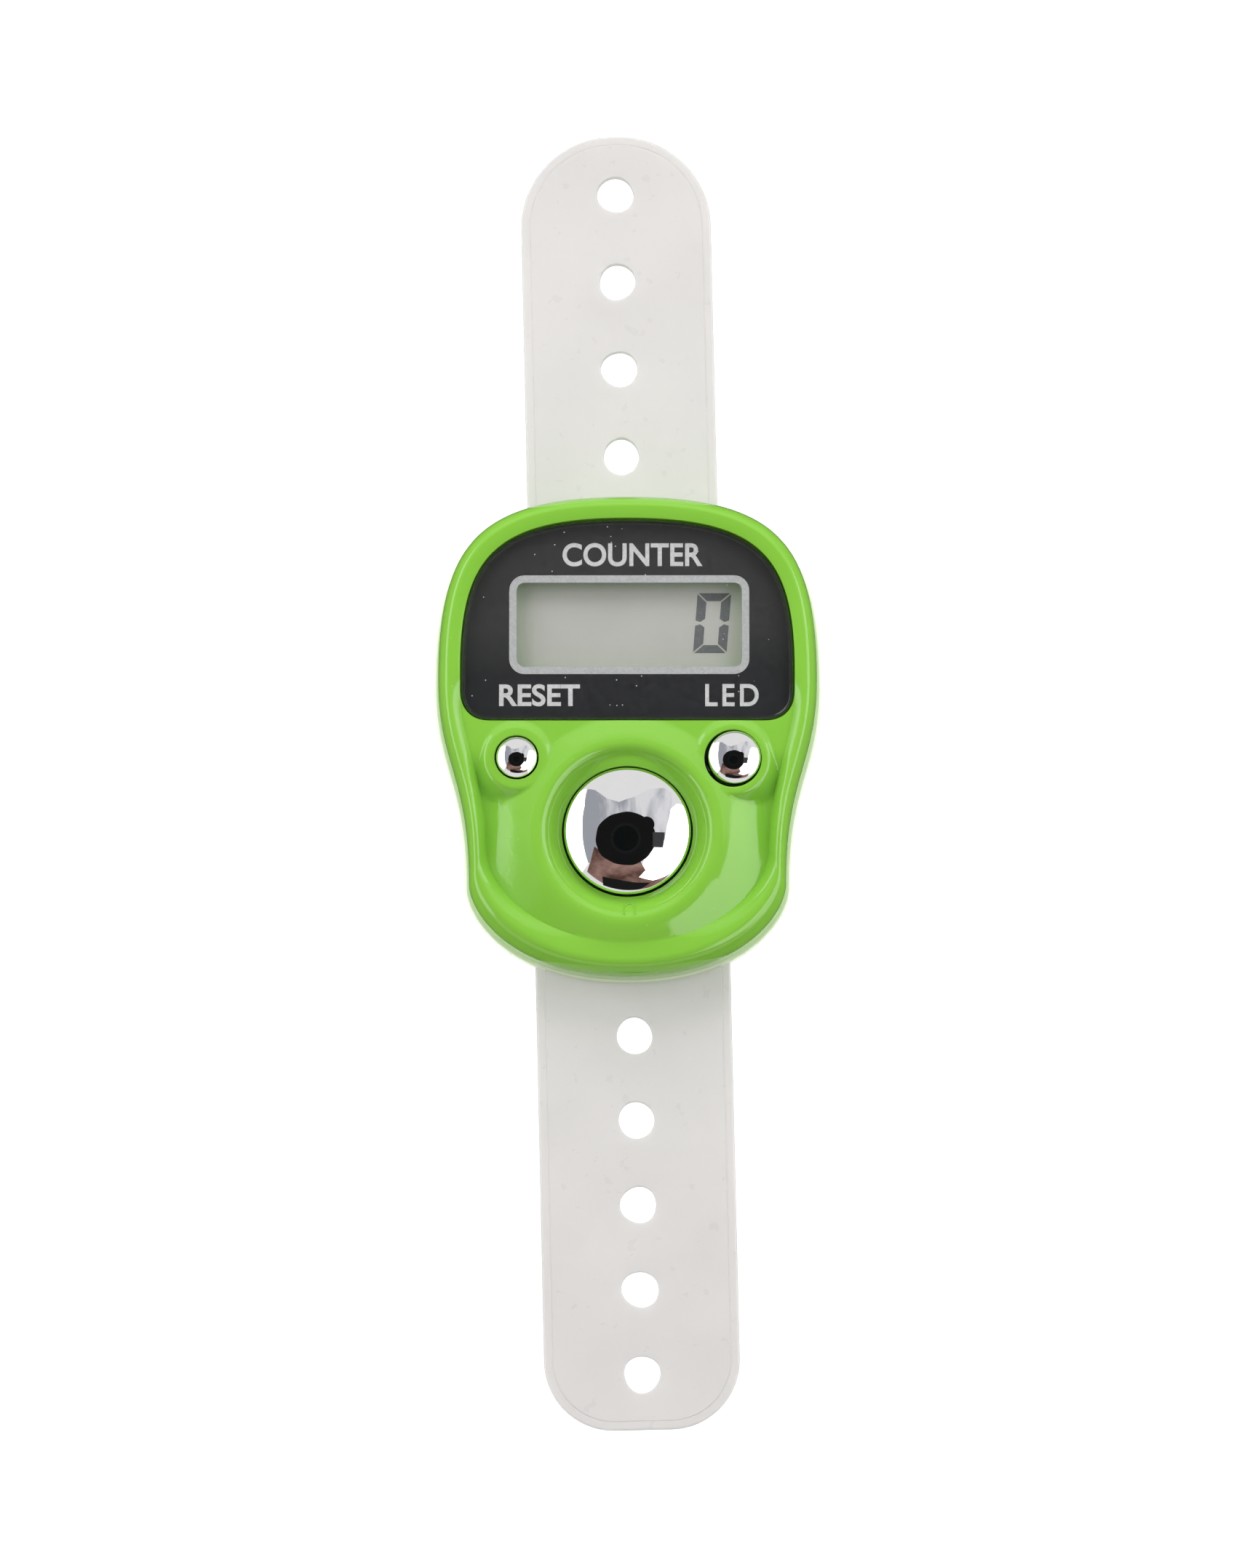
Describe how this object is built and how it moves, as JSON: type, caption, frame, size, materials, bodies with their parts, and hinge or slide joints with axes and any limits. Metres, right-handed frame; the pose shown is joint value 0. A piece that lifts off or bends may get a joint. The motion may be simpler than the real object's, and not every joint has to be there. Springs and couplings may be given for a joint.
{
  "type": "hand tally counter",
  "caption": "Finger-worn electronic tally counter with a display, domed chrome count, reset and light buttons, and a clear perforated strap.",
  "frame": {"origin": "centre of the flat back face of the case", "axes": "+Z out of the display, the way it faces; +Y along the case towards the shorter strap tail, above the display; +X to the right"},
  "size_m": [0.0308, 0.1027, 0.0124],
  "materials": {
    "green_plastic": "semi-gloss moulded ABS with a fine even texture",
    "lens_plastic": "polished clear acrylic, printed black behind",
    "chrome_button": "bright chrome plate on plastic",
    "silicone_rubber": "matte moulded silicone",
    "carbon_rubber": "matte carbon-filled rubber",
    "lcd_glass": "clear polished glass",
    "polariser_film": "grey polarising film",
    "reflector_film": "satin reflective film",
    "guide_plastic": "clear polished acrylic",
    "led_package": "white reflector package",
    "board_laminate": "glass-fibre laminate with green solder mask",
    "chip_epoxy": "matte black epoxy",
    "cell_steel": "nickel-plated steel",
    "contact_brass": "gold-flashed spring bronze",
    "strap_vinyl": "frosted clear soft vinyl",
    "screw_steel": "zinc-plated steel"
  },
  "bodies": {
    "case": {"front_shell": "green_plastic", "display_lens": "lens_plastic", "count_rubber_dome": "silicone_rubber", "reset_rubber_dome": "silicone_rubber", "light_rubber_dome": "silicone_rubber", "lcd_front_glass": "lcd_glass", "lcd_rear_glass": "lcd_glass", "lcd_polariser": "polariser_film", "lcd_reflector": "reflector_film", "zebra_strip": "carbon_rubber", "light_guide": "guide_plastic", "led": "led_package", "circuit_board": "board_laminate", "chip_blob": "chip_epoxy", "smd_components": "chip_epoxy", "battery_cell": "cell_steel", "battery_positive_clip": "contact_brass", "battery_negative_spring": "contact_brass", "strap_collar": "strap_vinyl", "rear_cover": "green_plastic", "battery_door": "green_plastic", "battery_door_screw": "screw_steel", "case_screws": "screw_steel", "board_screws": "screw_steel"},
    "count_key": {"count_button": "chrome_button", "count_contact_pill": "carbon_rubber"},
    "reset_key": {"reset_button": "chrome_button", "reset_contact_pill": "carbon_rubber"},
    "light_key": {"light_button": "chrome_button", "light_contact_pill": "carbon_rubber"},
    "upper_strap": {"strap_tail_upper": "strap_vinyl"},
    "lower_strap": {"strap_tail_lower": "strap_vinyl"}
  },
  "joints": [
    {"name": "count_press", "type": "slide", "parent": "case", "child": "count_key", "axis": [0, 0, -1], "range_m": [0, 0.0008], "stiffness_N_per_m": 1200, "springref_m": -0.0005, "deforming": ["count_rubber_dome"]},
    {"name": "reset_press", "type": "slide", "parent": "case", "child": "reset_key", "axis": [0, 0, -1], "range_m": [0, 0.0006], "stiffness_N_per_m": 1000, "springref_m": -0.0005, "deforming": ["reset_rubber_dome"]},
    {"name": "light_press", "type": "slide", "parent": "case", "child": "light_key", "axis": [0, 0, -1], "range_m": [0, 0.0006], "stiffness_N_per_m": 1000, "springref_m": -0.0005, "deforming": ["light_rubber_dome"]},
    {"name": "upper_strap_bend", "type": "hinge", "parent": "case", "child": "upper_strap", "pos_m": [-0.00045, 0.01994, 0.0042], "axis": [-0.9997, -0.0227, 0], "range_deg": [0, 90], "stiffness_Nm_per_rad": 0.004, "springref_deg": -2.86},
    {"name": "lower_strap_bend", "type": "hinge", "parent": "case", "child": "lower_strap", "pos_m": [0.00045, -0.01994, 0.0042], "axis": [0.9997, 0.0227, 0], "range_deg": [0, 90], "stiffness_Nm_per_rad": 0.004, "springref_deg": -2.86}
  ]
}
